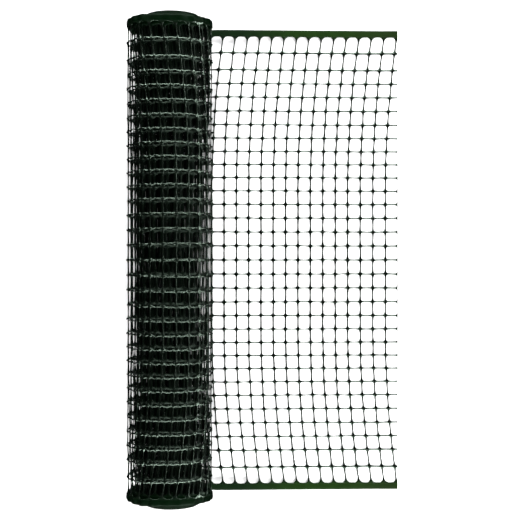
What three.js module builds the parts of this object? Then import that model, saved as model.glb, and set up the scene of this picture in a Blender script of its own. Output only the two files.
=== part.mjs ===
// A roll of plastic mesh fencing. It lies on its side, with the last half metre unrolled over the floor.
// Millimetres, +Z up. The origin is on the floor under the roll, halfway along it.
// The roll's length runs along Y, and the loose end runs out along +X.
import * as THREE from 'three';

// The net. Its cells are opened at about one and a half times the pitch that the moulded net has.
const netWidth = 1000;
const netThickness = 2.5;
const bandWidth = 13;
const columnStrand = 4;
const rowStrand = 3.2;
const cellsAcross = 24;

// The wound roll. Its radius shrinks by one turn's pitch on the way round, so a step is left under it.
// The flat spot reaches as far as flatReach from the axis, and the step is a little inside that.
const rollRadius = 90.7;
const turnPitch = 5.2;
const rollAxisX = 1.3;
const flatReach = 14;
const flatStart = 11.9;
const stepReach = 11.2;
const outerTurnSlip = 2;
const rollEnd = netWidth / 2 - outerTurnSlip;
const cellsAround = 14;
const cellDepth = 3;
const slopeAcross = 6;
const slopeAround = THREE.MathUtils.degToRad(4);

// The inner turns have slid out of each end of the roll, and the middle of the winding is hollow.
const endSteps = [
  { radius: 61, reach: rollEnd + 1.5 },
  { radius: 57, reach: rollEnd + 9 },
  { radius: 43, reach: rollEnd + 11 },
  { radius: 27.5, reach: rollEnd + 8 },
];

// The loose end. It leaves the step under the roll, rises a little beside it and sinks back to the floor.
const gap = 0.3;
const looseEndReach = 489.5;
const cellsAlong = 12;
const liftX = 30;
const crestX = 108;
const crestRise = 12.5;
const touchX = 470;
const sinkPower = 1.3;
const columnBow = 25;
const bowStart = 140;

// The angle runs from straight under the axis, by -X and over the top, back to the step.
const axisHeight = Math.sqrt(rollRadius ** 2 - flatReach ** 2);
const stepAngle = -Math.asin(stepReach / rollRadius);
const flatAngle = Math.asin(flatStart / rollRadius);
const lastAngle = stepAngle + 2 * Math.PI;

// A closed body from points and four-cornered faces that go anticlockwise seen from outside.
function closedBody(points, quads) {
  const geometry = new THREE.BufferGeometry();
  geometry.setAttribute('position', new THREE.Float32BufferAttribute(points.flat(), 3));
  geometry.setIndex(quads.flatMap(([a, b, c, d]) => [a, b, c, a, c, d]));
  geometry.computeVertexNormals();
  return geometry;
}

// Places round the roll: ridges where lengthwise strands run, and sunk places between them.
function placesAround() {
  const places = [
    { angle: stepAngle, sunk: false },
    { angle: flatAngle, sunk: false },
  ];
  const cellAngle = (lastAngle - flatAngle) / cellsAround;
  for (let cell = 0; cell < cellsAround; cell += 1) {
    const start = flatAngle + cell * cellAngle;
    places.push({ angle: start + slopeAround, sunk: true });
    places.push({ angle: start + cellAngle - slopeAround, sunk: true });
    places.push({ angle: start + cellAngle, sunk: false });
  }
  return places;
}

// Rings over the outside of the roll, from one end band to the other, with a ridge for each row of the net.
function outerRings() {
  const bandEdge = rollEnd - bandWidth;
  const rowPitch = (2 * bandEdge) / cellsAcross;
  const rings = [{ y: -rollEnd, radius: rollRadius, sunk: false }];
  for (let row = 0; row <= cellsAcross; row += 1) {
    const y = -bandEdge + row * rowPitch;
    if (row > 0) {
      rings.push({ y: y - slopeAcross, radius: rollRadius, sunk: true });
    }
    rings.push({ y, radius: rollRadius, sunk: false });
    if (row < cellsAcross) {
      rings.push({ y: y + slopeAcross, radius: rollRadius, sunk: true });
    }
  }
  rings.push({ y: rollEnd, radius: rollRadius, sunk: false });
  return rings;
}

function rolledNet() {
  const places = placesAround();
  const farEnd = endSteps.map(({ radius, reach }) => ({ y: reach, radius, sunk: false }));
  const nearEnd = farEnd.map((ring) => ({ ...ring, y: -ring.y })).reverse();
  const rings = [...outerRings(), ...farEnd, ...nearEnd];
  const points = rings.flatMap((ring) => places.map((place) => {
    const wound = ring.radius - turnPitch * ((place.angle - stepAngle) / (2 * Math.PI));
    const radius = ring.sunk && place.sunk ? wound - cellDepth : wound;
    const x = rollAxisX - radius * Math.sin(place.angle);
    const z = axisHeight - radius * Math.cos(place.angle);
    return [x, ring.y, Math.max(0, z)];
  }));
  const corner = (ring, place) => (ring % rings.length) * places.length + (place % places.length);
  const quads = rings.flatMap((_, r) => places.map((_, p) => (
    [corner(r, p), corner(r, p + 1), corner(r + 1, p + 1), corner(r + 1, p)]
  )));
  return closedBody(points, quads);
}

// The height of the loose end's underside over the floor.
function riseAt(x) {
  if (x <= crestX) {
    return crestRise * THREE.MathUtils.smoothstep(x, liftX, crestX);
  }
  return crestRise * Math.max(0, 1 - (x - crestX) / (touchX - crestX)) ** sinkPower;
}

// Edges of the strands across the net: a band at each side and a thin strand at each row between.
function rowEdges() {
  const bandEdge = netWidth / 2 - bandWidth;
  const rowPitch = (2 * bandEdge) / cellsAcross;
  const edges = [-netWidth / 2, -bandEdge];
  for (let row = 1; row < cellsAcross; row += 1) {
    const y = -bandEdge + row * rowPitch;
    edges.push(y - rowStrand / 2, y + rowStrand / 2);
  }
  return [...edges, bandEdge, netWidth / 2];
}

// Edges of the lengthwise strands, from the step under the roll to the cut end.
function columnEdges() {
  const startX = rollAxisX - rollRadius * Math.sin(stepAngle) + gap;
  const pitch = (looseEndReach - startX - columnStrand) / cellsAlong;
  const edges = [];
  for (let column = 0; column <= cellsAlong; column += 1) {
    const left = startX + column * pitch;
    const bowShare = Math.sin((Math.PI * column) / cellsAlong);
    edges.push({ x: left, bowShare }, { x: left + columnStrand, bowShare });
  }
  return edges;
}

function looseEnd() {
  const across = rowEdges();
  const along = columnEdges();
  const straightToBand = netWidth / 2 - bowStart;
  const layer = (lift) => along.flatMap(({ x, bowShare }) => across.map((y) => {
    const bow = columnBow * (Math.max(0, Math.abs(y) - bowStart) / straightToBand) ** 2;
    const bowedX = x + bow * bowShare;
    return [bowedX, y, riseAt(bowedX) + lift];
  }));
  const under = (column, row) => column * across.length + row;
  const over = (column, row) => along.length * across.length + under(column, row);
  const isStrand = (column, row) => {
    const inside = column >= 0 && row >= 0 && column < along.length - 1 && row < across.length - 1;
    return inside && (column % 2 === 0 || row % 2 === 0);
  };
  const wallsOf = (c, r) => [
    { beside: isStrand(c, r - 1), quad: [under(c, r), under(c + 1, r), over(c + 1, r), over(c, r)] },
    { beside: isStrand(c - 1, r), quad: [under(c, r + 1), under(c, r), over(c, r), over(c, r + 1)] },
    {
      beside: isStrand(c, r + 1),
      quad: [under(c + 1, r + 1), under(c, r + 1), over(c, r + 1), over(c + 1, r + 1)],
    },
    {
      beside: isStrand(c + 1, r),
      quad: [under(c + 1, r), under(c + 1, r + 1), over(c + 1, r + 1), over(c + 1, r)],
    },
  ];
  const quads = [];
  for (let c = 0; c < along.length - 1; c += 1) {
    for (let r = 0; r < across.length - 1; r += 1) {
      if (isStrand(c, r)) {
        quads.push([over(c, r), over(c + 1, r), over(c + 1, r + 1), over(c, r + 1)]);
        quads.push([under(c, r), under(c, r + 1), under(c + 1, r + 1), under(c + 1, r)]);
        const openWalls = wallsOf(c, r).filter((wall) => !wall.beside);
        quads.push(...openWalls.map((wall) => wall.quad));
      }
    }
  }
  return closedBody([...layer(0), ...layer(netThickness)], quads);
}

function netPiece(name, geometry, color) {
  const material = new THREE.MeshStandardMaterial({ color, roughness: 0.4, metalness: 0 });
  const mesh = new THREE.Mesh(geometry, material);
  mesh.name = name;
  return mesh;
}

const group = new THREE.Group();
group.add(netPiece('rolled_net', rolledNet(), 0x14301c));
group.add(netPiece('loose_end', looseEnd(), 0x1c3a1e));

export default group;
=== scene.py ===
import math

import bmesh
import bpy
import numpy as np
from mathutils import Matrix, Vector


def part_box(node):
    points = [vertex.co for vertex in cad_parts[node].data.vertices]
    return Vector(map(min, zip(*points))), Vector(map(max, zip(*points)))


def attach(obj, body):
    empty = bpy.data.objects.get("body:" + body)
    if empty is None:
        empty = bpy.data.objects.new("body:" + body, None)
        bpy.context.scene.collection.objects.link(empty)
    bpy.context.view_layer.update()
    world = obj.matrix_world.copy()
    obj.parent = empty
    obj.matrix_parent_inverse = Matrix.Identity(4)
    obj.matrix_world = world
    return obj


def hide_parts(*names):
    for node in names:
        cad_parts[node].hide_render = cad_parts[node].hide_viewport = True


# A roll of plastic mesh fencing on its side, with its loose end laid out towards +X. Metres, floor at z = 0.
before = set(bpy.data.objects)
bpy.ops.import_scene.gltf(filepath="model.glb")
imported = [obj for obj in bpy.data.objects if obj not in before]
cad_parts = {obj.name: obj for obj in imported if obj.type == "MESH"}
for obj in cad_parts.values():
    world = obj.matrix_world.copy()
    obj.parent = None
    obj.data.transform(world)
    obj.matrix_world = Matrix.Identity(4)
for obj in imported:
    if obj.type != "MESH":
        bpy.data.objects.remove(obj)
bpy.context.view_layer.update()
looseLow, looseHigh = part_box("loose_end")

# Straight above the roll and its loose end, as in the photograph
view = {"lens": 69.06, "sensor": 36, "overX": 0.1893, "height": 2.179}


def makeCamera():
    camera = bpy.data.objects.new("camera", bpy.data.cameras.new("camera"))
    camera.data.lens = view["lens"]
    camera.data.sensor_width = view["sensor"]
    camera.location = (view["overX"], 0, view["height"])
    camera.rotation_euler = (0, 0, 0)
    bpy.context.collection.objects.link(camera)
    bpy.context.scene.camera = camera


makeCamera()

# How the net is moulded: lengthwise strands at one pitch, cross rows at another, a smooth band at each side
net = {
    "columnPitch": 0.02705,
    "rowPitch": 0.0295,
    "rows": 31,
    "wideCells": 2,  # the cells next to each band are longer
    "bandWidth": 0.013,
    "width": looseHigh.y - looseLow.y,
    "length": 5.0,
    "halfThick": 0.0015,
}
bandInner = net["width"] / 2 - net["bandWidth"]

# Dark green plastic: the strands are nearly black, and the bands are green, painted darker beside the roll and
# on the roll as shade
plastic = {
    "strand": (0.0003, 0.0009, 0.0004, 1),
    "shadedStrand": (0.0004, 0.0014, 0.0006, 1),
    "maskFrom": bandInner - 0.007,
    "maskTo": bandInner - 0.001,
    "patchScale": 60,
    "patchDepth": 0.35,
    "grainScale": 900,
    "grainDistance": 0.00012,
    "grainStrength": 0.1,
    "glintTint": (0.70, 1.0, 0.77, 1),
}
bandToneAndShade = [  # metres from the cut end, and the band's colour there. From 0.245 m the band darkens as a painted shadow of the roll beside it, and from 0.5 m it darkens further as painted shade on the roll
    {"at": 0.050, "colour": (0.0070, 0.0150, 0.0038, 1)},
    {"at": 0.160, "colour": (0.0058, 0.0170, 0.0028, 1)},
    {"at": 0.245, "colour": (0.0058, 0.0170, 0.0028, 1)},
    {"at": 0.360, "colour": (0.0026, 0.0075, 0.0026, 1)},
    {"at": 0.500, "colour": (0.0026, 0.0075, 0.0026, 1)},
    {"at": 0.600, "colour": (0.0004, 0.0030, 0.0007, 1)},
]


def newGroup(name, inputs, outputs):
    group = bpy.data.node_groups.new(name, "ShaderNodeTree")
    for label, kind in inputs.items():
        group.interface.new_socket(label, in_out="INPUT", socket_type="NodeSocket" + kind)
    for label, kind in outputs.items():
        group.interface.new_socket(label, in_out="OUTPUT", socket_type="NodeSocket" + kind)
    return group, group.nodes.new("NodeGroupInput"), group.nodes.new("NodeGroupOutput")


def makeNetToneAndShade():
    # the colour by the place on the net laid flat: strand or band, and how far from the cut end, which paints
    # shade on the band beside the roll and on the roll
    group, given, made = newGroup("netToneAndShade", {"Place": "Vector", "Strand": "Color"}, {"Color": "Color"})
    nodes, links = group.nodes, group.links
    split = nodes.new("ShaderNodeSeparateXYZ")
    fromMiddle = nodes.new("ShaderNodeMath")
    fromMiddle.operation = "ABSOLUTE"
    mask = nodes.new("ShaderNodeMapRange")
    mask.inputs["From Min"].default_value = plastic["maskFrom"]
    mask.inputs["From Max"].default_value = plastic["maskTo"]
    # the band's colour ramp, with its painted shadow beside the roll and painted shade on the roll
    toneAndShadeRamp = nodes.new("ShaderNodeValToRGB")
    first, last = toneAndShadeRamp.color_ramp.elements
    first.position, first.color = bandToneAndShade[0]["at"], bandToneAndShade[0]["colour"]
    last.position, last.color = bandToneAndShade[-1]["at"], bandToneAndShade[-1]["colour"]
    for tone in bandToneAndShade[1:-1]:
        toneAndShadeRamp.color_ramp.elements.new(tone["at"]).color = tone["colour"]
    patches = nodes.new("ShaderNodeTexNoise")
    patches.inputs["Scale"].default_value = plastic["patchScale"]
    shade = nodes.new("ShaderNodeMapRange")
    shade.inputs["To Min"].default_value = 1 - plastic["patchDepth"]
    shade.inputs["To Max"].default_value = 1 + plastic["patchDepth"]
    strandOrBand = nodes.new("ShaderNodeMix")
    strandOrBand.data_type = "RGBA"
    patchy = nodes.new("ShaderNodeVectorMath")
    patchy.operation = "SCALE"
    links.new(given.outputs["Place"], split.inputs[0])
    links.new(given.outputs["Place"], patches.inputs["Vector"])
    links.new(split.outputs["X"], toneAndShadeRamp.inputs["Fac"])
    links.new(split.outputs["Y"], fromMiddle.inputs[0])
    links.new(fromMiddle.outputs[0], mask.inputs["Value"])
    links.new(mask.outputs[0], strandOrBand.inputs["Factor"])
    links.new(given.outputs["Strand"], strandOrBand.inputs["A"])
    links.new(toneAndShadeRamp.outputs["Color"], strandOrBand.inputs["B"])
    links.new(patches.outputs["Fac"], shade.inputs["Value"])
    links.new(strandOrBand.outputs["Result"], patchy.inputs[0])
    links.new(shade.outputs[0], patchy.inputs["Scale"])
    links.new(patchy.outputs[0], made.inputs["Color"])
    return group


def makeMouldGrain():
    # fine unevenness of the moulded skin, as roughness and as height
    inputs = {"Place": "Vector", "Roughness": "Float", "Spread": "Float"}
    group, given, made = newGroup("mouldGrain", inputs, {"Roughness": "Float", "Height": "Float"})
    nodes, links = group.nodes, group.links
    grain = nodes.new("ShaderNodeTexNoise")
    grain.inputs["Scale"].default_value = plastic["grainScale"]
    centred = nodes.new("ShaderNodeMath")
    centred.operation = "SUBTRACT"
    centred.inputs[1].default_value = 0.5
    spread = nodes.new("ShaderNodeMath")
    spread.operation = "MULTIPLY_ADD"
    links.new(given.outputs["Place"], grain.inputs["Vector"])
    links.new(grain.outputs["Fac"], centred.inputs[0])
    links.new(centred.outputs[0], spread.inputs[0])
    links.new(given.outputs["Spread"], spread.inputs[1])
    links.new(given.outputs["Roughness"], spread.inputs[2])
    links.new(spread.outputs[0], made.inputs["Roughness"])
    links.new(grain.outputs["Fac"], made.inputs["Height"])
    return group


netToneAndShade = makeNetToneAndShade()
mouldGrain = makeMouldGrain()


def netPlastic(name, strand, roughness, spread):
    material = bpy.data.materials.new(name)
    material.use_nodes = True
    nodes, links = material.node_tree.nodes, material.node_tree.links
    shader = nodes["Principled BSDF"]
    place = nodes.new("ShaderNodeAttribute")
    place.attribute_name = "netPlace"
    # the colour group, which carries the band's painted shade beside and on the roll
    tone = nodes.new("ShaderNodeGroup")
    tone.node_tree = netToneAndShade
    tone.inputs["Strand"].default_value = strand
    grain = nodes.new("ShaderNodeGroup")
    grain.node_tree = mouldGrain
    grain.inputs["Roughness"].default_value = roughness
    grain.inputs["Spread"].default_value = spread
    bump = nodes.new("ShaderNodeBump")
    bump.inputs["Strength"].default_value = plastic["grainStrength"]
    bump.inputs["Distance"].default_value = plastic["grainDistance"]
    links.new(place.outputs["Vector"], tone.inputs["Place"])
    links.new(place.outputs["Vector"], grain.inputs["Place"])
    links.new(tone.outputs["Color"], shader.inputs["Base Color"])
    links.new(grain.outputs["Roughness"], shader.inputs["Roughness"])
    links.new(grain.outputs["Height"], bump.inputs["Height"])
    links.new(bump.outputs["Normal"], shader.inputs["Normal"])
    shader.inputs["Specular Tint"].default_value = plastic["glintTint"]
    return material, shader


def outerPlastic():
    # glossy strands of the loose end and the outermost turn
    material, shader = netPlastic("outerPlastic", plastic["strand"], roughness=0.25, spread=0.1)
    shader.inputs["Specular IOR Level"].default_value = 0.9
    shader.inputs["Coat Weight"].default_value = 0.25
    shader.inputs["Coat Roughness"].default_value = 0.2
    return material


def secondPlastic():
    # the turn below it gets less light
    material, shader = netPlastic("secondPlastic", plastic["strand"], roughness=0.32, spread=0.1)
    shader.inputs["Specular IOR Level"].default_value = 0.32
    return material


def innerPlastic():
    # the wound bundle inside: a shaded copy of the plastic, with its own strand colour and weak, rough glints
    # as painted shade
    material, shader = netPlastic("innerPlastic", plastic["shadedStrand"], roughness=0.55, spread=0.1)
    shader.inputs["Specular IOR Level"].default_value = 0.08
    return material


def bandPlastic():
    # the smooth flat bands along both edges
    material, shader = netPlastic("bandPlastic", plastic["strand"], roughness=0.36, spread=0.15)
    shader.inputs["Specular IOR Level"].default_value = 0.05
    return material


outer, second, inner, bandFinish = outerPlastic(), secondPlastic(), innerPlastic(), bandPlastic()
print("materials made:", [finish.name for finish in (outer, second, inner, bandFinish)])


# Small helpers for work in edit mode
def pick(obj, test):
    bpy.ops.mesh.select_all(action="DESELECT")
    work = bmesh.from_edit_mesh(obj.data)
    for point in work.verts:
        point.select = test(point.co)
    work.select_flush(True)
    bmesh.update_edit_mesh(obj.data)


def deselectAll():
    if bpy.context.mode != "OBJECT":
        bpy.ops.object.mode_set(mode="OBJECT")
    bpy.ops.object.select_all(action="DESELECT")


def onlyActive(obj):
    deselectAll()
    obj.select_set(True)
    bpy.context.view_layer.objects.active = obj


def applyAll(obj):
    onlyActive(obj)
    for modifier in list(obj.modifiers):
        bpy.ops.object.modifier_apply(modifier=modifier.name)


# One node of the net with its four half strands. The inner turns have a plainer node.
node = {"half": 0.0031, "corner": 0.72, "rise": 0.0016, "rimRise": 0.0014}
lightNode = {"half": 0.0026, "corner": 0.95, "rise": 0.0012, "rimRise": 0.0011}
rowArm = [
    {"reach": 0.0056, "half": 0.0018, "rise": 0.0012},
    {"reach": net["columnPitch"] / 2, "half": 0.0014, "rise": 0.0010},
]
columnArm = [
    {"reach": 0.0060, "half": 0.0018, "rise": 0.0012},
    {"reach": net["rowPitch"] / 2, "half": 0.0014, "rise": 0.0010},
]
lightArmHalf = 0.0019
subdivisionGrows = 4 / 3  # one level of subdivision draws a strand in by this much
near = 1e-6


def extrudeArm(obj, direction, start, arm, grow):
    # pulls one edge of the shape out along direction, station by station
    along = direction.index(max(direction, key=abs))
    across = 1 - along
    side = direction[along]
    reach, half = start
    for station in arm:
        pick(obj, lambda co: abs(co[along] - side * reach) < near and abs(co[across]) < half + near)
        step = [0, 0, 0]
        step[along] = side * (station["reach"] - reach)
        bpy.ops.mesh.extrude_region_move(TRANSFORM_OT_translate={"value": step})
        squeeze = [1, 1, 1]
        squeeze[across] = station["half"] * grow / half
        centre = [0, 0, 0]
        centre[along] = side * station["reach"]
        bpy.ops.transform.resize(value=squeeze, center_override=centre)
        reach, half = station["reach"], station["half"] * grow


def mirrorUnderside(obj):
    # the shape so far is the upper half of the moulding, and its rim lies in the net's middle plane
    mirror = obj.modifiers.new("underside", "MIRROR")
    mirror.use_axis = (False, False, True)
    mirror.use_mirror_merge = True
    mirror.merge_threshold = near
    applyAll(obj)
    bpy.ops.object.mode_set(mode="EDIT")
    bpy.ops.mesh.select_all(action="SELECT")
    bpy.ops.mesh.normals_make_consistent(inside=False)
    bpy.ops.object.mode_set(mode="OBJECT")


def giveFinishes(obj):
    obj.data.materials.clear()
    obj.data.materials.append(outer)
    obj.data.materials.append(bandFinish)


def modelCell(grow, light):
    shape = lightNode if light else node
    rowSteps, columnSteps = rowArm, columnArm
    if light:
        rowSteps = [{**rowArm[-1], "half": lightArmHalf}]
        columnSteps = [{**columnArm[-1], "half": lightArmHalf}]
    half = shape["half"] * grow
    deselectAll()
    bpy.ops.mesh.primitive_grid_add(x_subdivisions=2, y_subdivisions=2, size=2 * half)
    cell = bpy.context.object
    giveFinishes(cell)
    bpy.ops.object.mode_set(mode="EDIT")
    for side in (1, -1):
        extrudeArm(cell, (side, 0, 0), (half, half), rowSteps, grow)
        extrudeArm(cell, (0, side, 0), (half, half), columnSteps, grow)
    pick(cell, lambda co: abs(abs(co.x) - half) < near and abs(abs(co.y) - half) < near)
    bpy.ops.transform.resize(value=(shape["corner"], shape["corner"], 1), center_override=(0, 0, 0))
    bpy.ops.object.mode_set(mode="OBJECT")
    for arm, along in ((rowSteps, 0), (columnSteps, 1)):
        places = [0, half] + [station["reach"] for station in arm]
        rises = [shape["rise"], shape["rimRise"]] + [station["rise"] for station in arm]
        for point in cell.data.vertices:
            if abs(point.co[1 - along]) < near and (along == 0 or abs(point.co.y) > near):
                point.co.z = grow * np.interp(abs(point.co[along]), places, rises)
    mirrorUnderside(cell)
    return cell


# The stretch of band that belongs to one column
band = {
    "steps": 8,
    "lightSteps": 4,
    "strips": 3,
    "archDepth": 0.0040,
    "archFoot": 0.0022,
    "rise": 0.0008,
    "rim": 0.0014,
    "innerRim": 0.0020,
    "outerRim": 0.0004,
    "roundness": 3.0,
}


def modelEdge(grow, light):
    # the last cell of a column ends in an arch in the band
    pitch = net["columnPitch"]
    steps = band["lightSteps"] if light else band["steps"]
    innerEdge = (net["rows"] + 1) / 2 * net["rowPitch"]
    deselectAll()
    strips = band["strips"]
    middle = (0, innerEdge + net["bandWidth"] / 2, 0)
    bpy.ops.mesh.primitive_grid_add(x_subdivisions=steps, y_subdivisions=strips, size=1, location=middle)
    edge = bpy.context.object
    edge.scale = (pitch, net["bandWidth"], 1)
    bpy.ops.object.transform_apply(location=True, rotation=True, scale=True)
    giveFinishes(edge)
    step = pitch / steps
    outerEdge = innerEdge + net["bandWidth"]
    rimEdge = innerEdge - band["innerRim"]
    rows = (rimEdge, rimEdge + band["rim"], outerEdge - band["rim"], outerEdge + band["outerRim"])
    for point in edge.data.vertices:
        row = round((point.co.y - innerEdge) / net["bandWidth"] * strips)
        point.co.y = rows[row]
        point.co.z = grow * band["rise"] if row in (1, 2) else 0
        if row == 0:
            share = min(1, (pitch / 2 - abs(point.co.x)) / (pitch / 2 - step))
            dip = 1 - max(0, 1 - share ** band["roundness"]) ** (1 / band["roundness"])
            point.co.y = rimEdge - band["archDepth"] * dip
            if share == 1 and abs(point.co.x) < step / 2:
                point.co.z = grow * columnArm[0]["rise"]
    for face in edge.data.polygons:
        face.material_index = int(face.center.y > rimEdge + band["rim"])
    foot = rimEdge - band["archDepth"]
    tip = net["rows"] / 2 * net["rowPitch"]
    bpy.ops.object.mode_set(mode="EDIT")
    reach, half = foot, step
    arm = [
        {"reach": foot - band["archFoot"], "half": columnArm[0]["half"]},
        {"reach": tip, "half": lightArmHalf if light else columnArm[-1]["half"]},
    ]
    for station in arm:
        pick(edge, lambda co: abs(co.y - reach) < near and abs(co.x) < half + near)
        bpy.ops.mesh.extrude_region_move(TRANSFORM_OT_translate={"value": (0, station["reach"] - reach, 0)})
        squeeze = (station["half"] * grow / half, 1, 1)
        bpy.ops.transform.resize(value=squeeze, center_override=(0, station["reach"], 0))
        reach, half = station["reach"], station["half"] * grow
    bpy.ops.object.mode_set(mode="OBJECT")
    for point in edge.data.vertices:
        if abs(point.co.x) < near and point.co.y < foot - near:
            station = columnArm[-1] if point.co.y < tip + near else columnArm[0]
            point.co.z = grow * station["rise"]
    mirrorUnderside(edge)
    return edge


def modelColumn(grow, light):
    # a full column of the net, from band to band
    cell = modelCell(grow, light)
    firstRow = -(net["rows"] - 1) / 2 * net["rowPitch"]
    for point in cell.data.vertices:
        point.co.y += firstRow
    repeat = cell.modifiers.new("rows", "ARRAY")
    repeat.count = net["rows"]
    repeat.use_relative_offset = False
    repeat.use_constant_offset = True
    repeat.constant_offset_displace = (0, net["rowPitch"], 0)
    repeat.use_merge_vertices = True
    repeat.merge_threshold = 10 * near
    applyAll(cell)
    edge = modelEdge(grow, light)
    flip = edge.modifiers.new("otherBand", "MIRROR")
    flip.use_axis = (False, True, False)
    flip.use_mirror_merge = False
    applyAll(edge)
    deselectAll()
    cell.select_set(True)
    edge.select_set(True)
    bpy.context.view_layer.objects.active = cell
    bpy.ops.object.join()
    bpy.ops.object.mode_set(mode="EDIT")
    bpy.ops.mesh.select_all(action="SELECT")
    bpy.ops.mesh.remove_doubles(threshold=10 * near)
    bpy.ops.mesh.normals_make_consistent(inside=False)
    bpy.ops.object.mode_set(mode="OBJECT")
    return cell


columnCage = {"light": modelColumn(1, light=True), "fine": modelColumn(subdivisionGrows, light=False)}
print("net column modelled:", {name: len(cage.data.polygons) for name, cage in columnCage.items()})

# The way that the net lies, seen along Y: over the floor from the cut end, under the roll and then wound up.
# The outermost two turns are loose, and the next four are tight.
lay = {
    "cutX": looseHigh.x,
    "rollX": 0.0013,
    "rollZ": 0.0896,
    "stepX": 0.0115,
    "outerRadius": 0.0892,
    "turns": [0, 1, 2, 3, 4.5, 6.1, 6.6, 9, 14],
    "radii": [0.0892, 0.0852, 0.0775, 0.0740, 0.0695, 0.0612, 0.0570, 0.0490, 0.0222],
    "leanTurns": [1.2, 2.2],
    "lean": [0, 0.0036],  # the inner turns lie nearer the side that the loose end leaves
    "liftX": 0.030,
    "crestX": 0.108,
    "crestRise": 0.0125,
    "touchX": 0.470,
    "sinkPower": 1.3,
    "looseSteps": 240,
    "turnSteps": 240,
}


def makePath():
    x = np.linspace(lay["cutX"], lay["stepX"], lay["looseSteps"])
    share = np.clip((x - lay["liftX"]) / (lay["crestX"] - lay["liftX"]), 0, 1)
    rising = share * share * (3 - 2 * share)
    sinking = np.clip(1 - (x - lay["crestX"]) / (lay["touchX"] - lay["crestX"]), 0, 1) ** lay["sinkPower"]
    z = net["halfThick"] + lay["crestRise"] * np.where(x < lay["crestX"], rising, sinking)
    firstAngle = -math.asin((lay["stepX"] - lay["rollX"]) / lay["outerRadius"])
    lastTurn = lay["turns"][-1]
    turn = np.linspace(0, lastTurn, lastTurn * lay["turnSteps"])[1:]
    angle = firstAngle + 2 * math.pi * turn
    radius = np.interp(turn, lay["turns"], lay["radii"])
    centreX = lay["rollX"] + np.interp(turn, lay["leanTurns"], lay["lean"])
    x = np.concatenate([x, centreX - radius * np.sin(angle)])
    z = np.concatenate([z, np.maximum(net["halfThick"], lay["rollZ"] - radius * np.cos(angle))])
    turns = np.concatenate([np.zeros(lay["looseSteps"]), turn])
    steps = np.hypot(np.diff(x), np.diff(z))
    along = np.concatenate([[0], np.cumsum(steps)])
    slopeX, slopeZ = np.gradient(x, along), np.gradient(z, along)
    return {"along": along, "x": x, "z": z, "normalX": slopeZ, "normalZ": -slopeX, "turn": turns}


path = makePath()
looseLength = float(np.interp(near, path["turn"], path["along"]))
turnCount = float(np.interp(net["length"], path["along"], path["turn"]))
print("loose end", round(looseLength, 3), "m, turns", round(turnCount, 2))

# How the laid net departs from its even, flat shape
flatLay = {
    "firstColumn": -0.0009,  # from the cut end, halfway across the net
    "rollSlack": 0.0026,
    "slackRun": 0.1,
    "bowFrom": 0.140,
    "bow": 0.0248,  # the columns bend towards the cut end near the bands
    "rollBow": 0.0050,
    "stretch": 0.0022,
    "stretchEnd": 0.42,
    "rowSwell": 0.0028,
    "rowPinch": 0.0010,
    "swellEnd": 0.236,
    "pinchEnd": 0.354,
}

# Unevenness, drawn once for every node of the net
uneven = {
    "seed": 7,
    "slide": 0.00025,
    "bandEases": 0.004,
    "lift": 0.0002,
    "wander": 0.0060,  # the inner turns wander in broad waves
    "wanderFrom": 38,
    "wanderRise": 12,
    "waveColumns": 7,
    "waveRows": 5,
    "wavesAcross": 9,
    "bulge": 0.0020,  # strands between two columns bulge outwards on the loose turns
    "bulgeSpread": 0.0008,
    "arc": 0.0022,  # and bow towards the nearer end
    "arcFull": 0.1,
    "arcEnds": 0.01,
    "looseRise": 0.15,
    "looseTurns": [0, 2.5, 4],
    "looseness": [1, 1, 0.35],
}
columns = int(net["length"] / net["columnPitch"]) + 2
draw = np.random.default_rng(uneven["seed"])
nodeNoise = draw.normal(size=(4, columns, net["rows"] + 4)).clip(-2, 2)
broadNoise = draw.normal(size=(columns, uneven["wavesAcross"])).clip(-2, 2)

# How far each turn has slid along the roll, in millimetres: the same way out at both ends
endSlides = [
    {"turn": 0.00, "out": 0.0},
    {"turn": 0.25, "out": 0.8},
    {"turn": 0.34, "out": -2.0},
    {"turn": 0.42, "out": -2.0},
    {"turn": 0.50, "out": -5.6},
    {"turn": 0.64, "out": -4.5},
    {"turn": 0.75, "out": 0.6},
    {"turn": 1.00, "out": 0.0},
    {"turn": 1.25, "out": -6.0},
    {"turn": 1.50, "out": -10.5},
    {"turn": 1.75, "out": -6.0},
    {"turn": 2.00, "out": 0.0},
    {"turn": 2.25, "out": -6.0},
    {"turn": 2.50, "out": -9.0},
    {"turn": 2.80, "out": 0.0},
    {"turn": 4.00, "out": 1.2},
    {"turn": 6.10, "out": 1.2},
    {"turn": 6.60, "out": 8.5},
    {"turn": 9.00, "out": 10.5},
    {"turn": 11.5, "out": 9.5},
    {"turn": 13.5, "out": 6.0},
]
slideReach = {
    "startTurns": [1.0, 1.3],
    "starts": [0.25, -0.2],  # how far from the middle the slide begins, on the outer turn and inside it
    "full": 0.45,
    "slantTurns": [0.25, 0.5, 0.75, 1.0],  # the rows slant a little over the top of the outer turn
    "slants": [0, 2.0, 3.5, 0],
    "slantStart": 0.03,
    "slantFades": [0.1, 0.25],
}


def endShift(turn, y):
    size = np.abs(y)
    outward = np.interp(turn, [row["turn"] for row in endSlides], [row["out"] for row in endSlides])
    start = np.interp(turn, slideReach["startTurns"], slideReach["starts"])
    outward *= np.clip((size - start) / (slideReach["full"] - start), 0, 1)
    slant = np.interp(turn, slideReach["slantTurns"], slideReach["slants"])
    fading = np.interp(size, slideReach["slantFades"], [1, 0])
    slant *= np.clip(size / slideReach["slantStart"], 0, 1) * fading
    return np.sign(y) * (outward + slant) / 1000


shortOf = 0.001  # keeps a point on the last node inside the last cell


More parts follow.
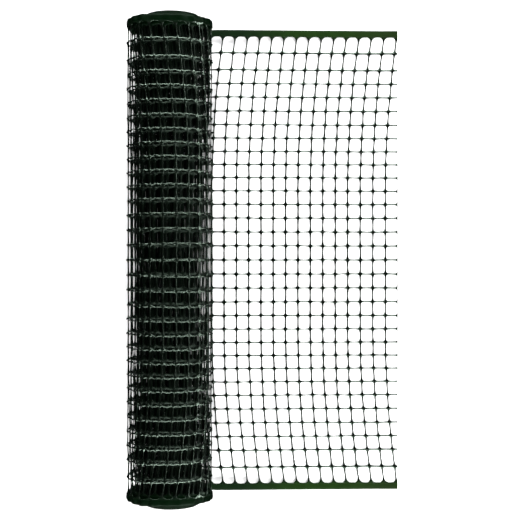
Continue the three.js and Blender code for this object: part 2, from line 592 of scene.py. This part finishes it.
def atNodes(values, column, row):
    # the values of the four nodes round a point, blended
    column = np.clip(column, 0, values.shape[0] - 1 - shortOf)
    row = np.clip(row, 0, values.shape[1] - 1 - shortOf)
    c, r = column.astype(int), row.astype(int)
    u, v = column - c, row - r
    u, v = u * u * (3 - 2 * u), v * v * (3 - 2 * v)
    return (
        values[c, r] * (1 - u) * (1 - v)
        + values[c + 1, r] * u * (1 - v)
        + values[c, r + 1] * (1 - u) * v
        + values[c + 1, r + 1] * u * v
    )


def rowPlaces(flatY):
    # nearly even rows, but for the wider cells next to the bands
    half = (net["rows"] + 1) / 2 * net["rowPitch"]
    even = half - net["wideCells"] * net["rowPitch"]
    size = np.abs(flatY)
    placed = np.interp(size, [0, even, half, half + 1], [0, even, bandInner, bandInner + 1])
    swell = np.clip(placed / flatLay["swellEnd"], 0, 1)
    pinch = np.clip((placed - flatLay["swellEnd"]) / (flatLay["pinchEnd"] - flatLay["swellEnd"]), 0, 1)
    placed += flatLay["rowSwell"] * np.sin(math.pi * swell) - flatLay["rowPinch"] * np.sin(math.pi * pinch)
    return np.sign(flatY) * placed


def readPoints(mesh):
    points = np.zeros(len(mesh.vertices) * 3)
    mesh.vertices.foreach_get("co", points)
    return points.reshape(-1, 3)


def spreadFlat(obj, firstColumn):
    # the net on the flat: x along it from the cut end, y across it, z through it
    mesh = obj.data
    flat = readPoints(mesh)
    flat[:, 0] += firstColumn * net["columnPitch"]
    column = flat[:, 0] / net["columnPitch"] + 1
    row = flat[:, 1] / net["rowPitch"] + (net["rows"] - 1) / 2 + 1
    y = rowPlaces(flat[:, 1])
    rolled = np.clip((flat[:, 0] - looseLength) / flatLay["slackRun"], 0, 1)
    beyond = np.clip(np.abs(y) - flatLay["bowFrom"], 0, None) / (bandInner - flatLay["bowFrom"])
    along = flat[:, 0] + flatLay["firstColumn"] + flatLay["rollSlack"] * rolled
    along -= (flatLay["bow"] + flatLay["rollBow"] * rolled) * beyond ** 2
    along += flatLay["stretch"] * np.sin(math.pi * np.clip(flat[:, 0] / flatLay["stretchEnd"], 0, 1))
    along += uneven["slide"] * atNodes(nodeNoise[0], column, row)
    inside = np.clip((column - uneven["wanderFrom"]) / uneven["wanderRise"], 0, 1)
    waves = atNodes(broadNoise, column / uneven["waveColumns"], (row + 2) / uneven["waveRows"])
    along += uneven["wander"] * inside * waves
    inBand = np.clip((np.abs(y) - bandInner) / uneven["bandEases"], 0, 1)
    y = y + uneven["slide"] * atNodes(nodeNoise[1], column, row) * (1 - inBand)
    mesh.vertices.foreach_set("co", np.column_stack([along, y, flat[:, 2]]).ravel())
    place = mesh.attributes.new("netPlace", "FLOAT_VECTOR", "POINT")
    place.data.foreach_set("vector", np.column_stack([flat[:, 0], y, flat[:, 2]]).ravel())


def cutStraight(obj):
    onlyActive(obj)
    bpy.ops.object.mode_set(mode="EDIT")
    bpy.ops.mesh.select_all(action="SELECT")
    bpy.ops.mesh.bisect(plane_co=(0, 0, 0), plane_no=(-1, 0, 0), use_fill=True, clear_outer=True)
    bpy.ops.object.mode_set(mode="OBJECT")


def closeEnds(obj):
    onlyActive(obj)
    bpy.ops.object.mode_set(mode="EDIT")
    bpy.ops.mesh.select_mode(type="VERT")
    bpy.ops.mesh.select_all(action="DESELECT")
    bpy.ops.mesh.select_non_manifold(
        extend=False,
        use_wire=False,
        use_boundary=True,
        use_multi_face=False,
        use_non_contiguous=False,
        use_verts=False,
    )
    bpy.ops.mesh.fill_holes(sides=0)
    bpy.ops.object.mode_set(mode="OBJECT")


def onPath(along, name):
    return np.interp(along, path["along"], path[name])


def layDown(obj):
    # from the flat onto the path, with bulging strands on the loose outer turns
    mesh = obj.data
    flat = readPoints(mesh)
    along, across = flat[:, 0], flat[:, 1]
    place = np.zeros(len(mesh.vertices) * 3)
    mesh.attributes["netPlace"].data.foreach_get("vector", place)
    column = place.reshape(-1, 3)[:, 0] / net["columnPitch"] + 1
    row = across / net["rowPitch"] + (net["rows"] - 1) / 2 + 1
    turn = onPath(along, "turn")
    loose = np.interp(turn, uneven["looseTurns"], uneven["looseness"])
    loose *= np.clip(turn / uneven["looseRise"], 0, 1)
    between = np.sin(math.pi * (column % 1)) ** 2
    bulge = (uneven["bulge"] + uneven["bulgeSpread"] * atNodes(nodeNoise[2], column, row)) * between * loose
    lift = flat[:, 2] - bulge + uneven["lift"] * atNodes(nodeNoise[3], column, row) * loose
    x = onPath(along, "x") + lift * onPath(along, "normalX")
    z = onPath(along, "z") + lift * onPath(along, "normalZ")
    inNet = np.abs(across) < bandInner - uneven["arcEnds"]
    arc = uneven["arc"] * between * loose * inNet * np.clip(np.abs(across) / uneven["arcFull"], 0, 1)
    y = across + endShift(turn, across) + arc * np.sign(across)
    mesh.vertices.foreach_set("co", np.column_stack([x, y, np.maximum(z, 0)]).ravel())
    mesh.update()


def netPiece(part):
    cage = columnCage[part["cage"]]
    piece = cage.copy()
    piece.data = cage.data.copy()
    piece.name = part["name"]
    piece.data.name = part["name"]
    piece.data.materials[0] = part["finish"]
    bpy.context.collection.objects.link(piece)
    repeat = piece.modifiers.new("columns", "ARRAY")
    repeat.count = part["to"] - part["from"]
    repeat.use_relative_offset = False
    repeat.use_constant_offset = True
    repeat.constant_offset_displace = (net["columnPitch"], 0, 0)
    repeat.use_merge_vertices = True
    repeat.merge_threshold = 10 * near
    if part["cage"] == "fine":
        smooth = piece.modifiers.new("rounded", "SUBSURF")
        smooth.levels = smooth.render_levels = 1
        smooth.boundary_smooth = "PRESERVE_CORNERS"
    applyAll(piece)
    spreadFlat(piece, part["from"])
    if part["from"] == 0:
        cutStraight(piece)
    closeEnds(piece)
    layDown(piece)
    onlyActive(piece)
    bpy.ops.object.shade_smooth()
    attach(piece, "root")
    print(part["name"], "laid,", sum(len(face.vertices) - 2 for face in piece.data.polygons), "triangles")
    return piece


# The net in stretches of columns, from the cut end to the middle of the roll
stretches = [
    {"name": "netLoose", "from": 0, "to": 18, "cage": "fine", "finish": outer},
    {"name": "netOuterA", "from": 18, "to": 28, "cage": "fine", "finish": outer},
    {"name": "netOuterB", "from": 28, "to": 38, "cage": "fine", "finish": outer},
    {"name": "netSecondA", "from": 38, "to": 48, "cage": "fine", "finish": second},
    {"name": "netSecondB", "from": 48, "to": 57, "cage": "fine", "finish": second},
    {"name": "netThird", "from": 57, "to": 74, "cage": "fine", "finish": inner},
    {"name": "netInnerA", "from": 74, "to": 130, "cage": "light", "finish": inner},
    {"name": "netInnerB", "from": 130, "to": 185, "cage": "light", "finish": inner},
]
pieces = {part["name"]: netPiece(part) for part in stretches}
for cage in columnCage.values():
    bpy.data.objects.remove(cage)

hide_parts("loose_end")
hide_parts("rolled_net")

# Floor and light. The boxes that light the floor give no glints.
# The strips that give the glints don't light it.
studio = {
    "floorSize": 14,
    "floorGrey": 0.8,
    "sky": 0.012,
    "fill": {"place": (0.1, 2.4, 1.8), "aim": (0.1, 0, 0), "size": (1.6, 1.2), "power": 165, "glint": False},
    "top": {"place": (1.4, 0, 2.0), "aim": (0.1, 0, 0), "size": (1.4, 1.4), "power": 60, "glint": False},
    "ends": {"place": (0.1, 1.4, 0.6), "aim": (0.1, 0.2, 0.1), "size": (3.0, 0.3), "power": 75, "glint": True},
    "right": {"place": (2.6, 0, 0.12), "aim": (0, 0, 0.1), "size": (3.0, 0.25), "power": 40, "glint": True},
}


def makeFloor():
    deselectAll()
    bpy.ops.mesh.primitive_plane_add(size=studio["floorSize"], location=(0, 0, 0))
    floor = bpy.context.object
    floor.name = "floor"
    white = bpy.data.materials.new("floorWhite")
    white.use_nodes = True
    shader = white.node_tree.nodes["Principled BSDF"]
    shader.inputs["Base Color"].default_value = (studio["floorGrey"],) * 3 + (1,)
    shader.inputs["Roughness"].default_value = 0.8
    shader.inputs["Specular IOR Level"].default_value = 0
    floor.data.materials.append(white)
    floor.visible_glossy = False


def makeSky():
    world = bpy.data.worlds.new("studioWorld")
    world.use_nodes = True
    world.node_tree.nodes["Background"].inputs["Color"].default_value = (1, 1, 1, 1)
    world.node_tree.nodes["Background"].inputs["Strength"].default_value = studio["sky"]
    bpy.context.scene.world = world


def softbox(name, side=1):
    box = studio[name]
    light = bpy.data.lights.new(name, "AREA")
    light.shape = "RECTANGLE"
    light.size, light.size_y = box["size"]
    light.energy = box["power"]
    lamp = bpy.data.objects.new(name, light)
    mirrored = Vector((1, side, 1))
    lamp.location = Vector(box["place"]) * mirrored
    aim = (Vector(box["aim"]) - Vector(box["place"])) * mirrored
    lamp.rotation_euler = aim.to_track_quat("-Z", "Y").to_euler()
    lamp.visible_glossy = box["glint"]
    lamp.visible_diffuse = not box["glint"]
    lamp.visible_camera = False
    bpy.context.collection.objects.link(lamp)


makeFloor()
makeSky()
for side in (1, -1):
    softbox("fill", side)
    softbox("ends", side)
softbox("top")
softbox("right")
bpy.context.scene.view_settings.view_transform = "Standard"
print("studio ready")
